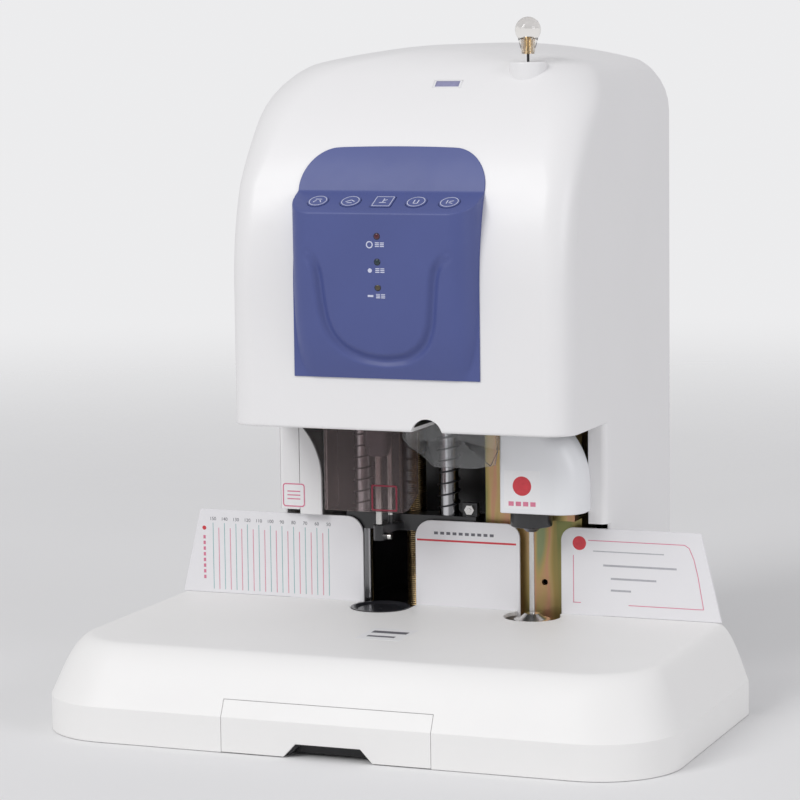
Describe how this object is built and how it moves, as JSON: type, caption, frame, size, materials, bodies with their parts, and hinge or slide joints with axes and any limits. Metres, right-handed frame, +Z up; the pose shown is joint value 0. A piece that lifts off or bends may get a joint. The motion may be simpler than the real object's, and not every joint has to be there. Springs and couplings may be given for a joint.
{
  "type": "document riveting machine",
  "caption": "Desk machine that drills a paper stack and rivets it with a heated nylon tube, with paper table, guide plate, head and key panel.",
  "frame": {"origin": "centre of the outline in plan, on the desk under the rubber feet", "axes": "+X to the operator's right, -Y towards the operator, +Z up"},
  "size_m": [0.487, 0.394, 0.5228],
  "materials": {
    "aluminium_tube": "drawn aluminium",
    "black_casting": "black coated casting",
    "black_plastic": "black electrical plastic",
    "board_green": "green circuit board",
    "bright_steel": "ground steel",
    "bronze": "oiled bearing bronze",
    "chromed_steel": "hard chromed, polished",
    "clear_plastic": "clear acrylic",
    "cover_white": "off-white moulded plastic, satin",
    "dark_steel": "blackened steel",
    "disc_plastic": "dark cutting disc, worn",
    "drawer_plastic": "light grey moulded plastic",
    "ferrule_brass": "polished brass",
    "foot_rubber": "black rubber",
    "grey_steel": "grey painted sheet steel",
    "guide_cream": "cream painted sheet",
    "key_blue": "blue keys with white marks",
    "lamp_lens": "coloured lamp lenses: red, green and amber",
    "motor_black": "black motor case",
    "nose_white": "white moulded plastic",
    "pad_black": "black nylon",
    "panel_blue": "slate blue moulded plastic, satin",
    "ram_black": "black coated ram",
    "rear_grey": "light grey painted sheet",
    "rocker_red": "red rocker",
    "screw_brass": "oiled brass screw",
    "smoked_plastic": "smoked reddish brown acrylic",
    "spring_steel": "dark spring wire",
    "table_plastic": "light warm grey moulded plastic, fine matt grain",
    "transformer_iron": "varnished laminations and winding",
    "zinc_yellow": "yellow passivated zinc"
  },
  "bodies": {
    "chassis": {"anvil_bracket": "grey_steel", "back_plate": "grey_steel", "base_plate": "grey_steel", "base_shell": "table_plastic", "clear_deflector": "clear_plastic", "control_boards": "board_green", "control_panel": "panel_blue", "cutting_disc": "disc_plastic", "drill_pad": "pad_black", "fuse_holder": "black_plastic", "guide_posts": "chromed_steel", "head_cover": "cover_white", "lamp_lenses": "lamp_lens", "lift_motor": "motor_black", "lower_die": "bright_steel", "neck_cheek": "cover_white", "needle_spring": "spring_steel", "nose_cover": "nose_white", "paper_guide": "guide_cream", "power_inlet": "black_plastic", "power_supply": "grey_steel", "ram_motor": "motor_black", "rear_panel": "rear_grey", "rear_screws": "bright_steel", "rivet_frame": "zinc_yellow", "rubber_feet": "foot_rubber", "smoked_guard": "smoked_plastic", "switch_frame": "black_plastic", "top_plate": "grey_steel", "transformer": "transformer_iron", "tube_guide": "aluminium_tube", "tube_inlet": "cover_white"},
    "drill_unit": {"drill_carriage": "black_casting", "carriage_bushes": "bronze", "drill_motor": "motor_black"},
    "spindle": {"drill_chuck": "dark_steel", "hollow_bit": "dark_steel"},
    "presser": {"presser_foot": "black_casting", "presser_fasteners": "bright_steel", "post_springs": "spring_steel"},
    "lift_screw": {"lead_screw": "screw_brass"},
    "ram": {"rivet_head": "ram_black", "rivet_tip": "dark_steel", "ram_sleeve": "bright_steel", "ram_slide": "grey_steel"},
    "ram_screw": {"ram_screw": "bright_steel"},
    "needle": {"die_needle": "bright_steel"},
    "tube_pusher": {"pusher_rod": "dark_steel", "pusher_ferrule": "ferrule_brass", "pusher_knob": "clear_plastic"},
    "scrap_drawer": {"drawer_front": "drawer_plastic", "drawer_tray": "drawer_plastic"},
    "key_1": {"key_1": "key_blue"},
    "key_2": {"key_2": "key_blue"},
    "key_3": {"key_3": "key_blue"},
    "key_4": {"key_4": "key_blue"},
    "key_5": {"key_5": "key_blue"},
    "power_rocker": {"switch_rocker": "rocker_red"}
  },
  "joints": [
    {"name": "drill_lift", "type": "slide", "parent": "chassis", "child": "drill_unit", "axis": [0, 0, 1], "range_m": [-0.064, 0], "deforming": ["post_springs"]},
    {"name": "spindle_spin", "type": "hinge", "parent": "drill_unit", "child": "spindle", "pos_m": [-0.0462, 0.0216, 0.2], "axis": [0, 0, 1], "continuous": true},
    {"name": "presser_drop", "type": "slide", "parent": "chassis", "child": "presser", "axis": [0, 0, 1], "range_m": [-0.05, 0]},
    {"name": "lift_screw_spin", "type": "hinge", "parent": "chassis", "child": "lift_screw", "pos_m": [-0.033, 0.068, 0.2], "axis": [0, 0, 1], "continuous": true},
    {"name": "ram_press", "type": "slide", "parent": "chassis", "child": "ram", "axis": [0, 0, 1], "range_m": [-0.058, 0]},
    {"name": "ram_screw_spin", "type": "hinge", "parent": "chassis", "child": "ram_screw", "pos_m": [0.101, 0.036, 0.25], "axis": [0, 0, 1], "continuous": true},
    {"name": "needle_dip", "type": "slide", "parent": "chassis", "child": "needle", "axis": [0, 0, 1], "range_m": [-0.006, 0], "stiffness_N_per_m": 400, "springref_m": 0.004, "deforming": ["needle_spring"]},
    {"name": "pusher_slide", "type": "slide", "parent": "chassis", "child": "tube_pusher", "axis": [0, 0, 1], "range_m": [0, 0.12]},
    {"name": "drawer_slide", "type": "slide", "parent": "chassis", "child": "scrap_drawer", "axis": [0, -1, 0], "range_m": [0, 0.13]},
    {"name": "key_1_press", "type": "slide", "parent": "chassis", "child": "key_1", "axis": [0, 0.4389, -0.8986], "range_m": [0, 0.0008], "stiffness_N_per_m": 900, "springref_m": -0.0003},
    {"name": "key_2_press", "type": "slide", "parent": "chassis", "child": "key_2", "axis": [0, 0.4389, -0.8986], "range_m": [0, 0.0008], "stiffness_N_per_m": 900, "springref_m": -0.0003},
    {"name": "key_3_press", "type": "slide", "parent": "chassis", "child": "key_3", "axis": [0, 0.4389, -0.8986], "range_m": [0, 0.0008], "stiffness_N_per_m": 900, "springref_m": -0.0003},
    {"name": "key_4_press", "type": "slide", "parent": "chassis", "child": "key_4", "axis": [0, 0.4389, -0.8986], "range_m": [0, 0.0008], "stiffness_N_per_m": 900, "springref_m": -0.0003},
    {"name": "key_5_press", "type": "slide", "parent": "chassis", "child": "key_5", "axis": [0, 0.4389, -0.8986], "range_m": [0, 0.0008], "stiffness_N_per_m": 900, "springref_m": -0.0003},
    {"name": "power_rock", "type": "hinge", "parent": "chassis", "child": "power_rocker", "pos_m": [-0.048, 0.1905, 0.1065], "axis": [1, 0, 0], "range_deg": [-16, 0]}
  ],
  "couplings": [
    {"joint": "presser_drop", "follows": "drill_lift", "ratio": 0.78125},
    {"joint": "lift_screw_spin", "follows": "drill_lift", "rad_per_m": -785.4},
    {"joint": "ram_screw_spin", "follows": "ram_press", "rad_per_m": -785.4}
  ]
}
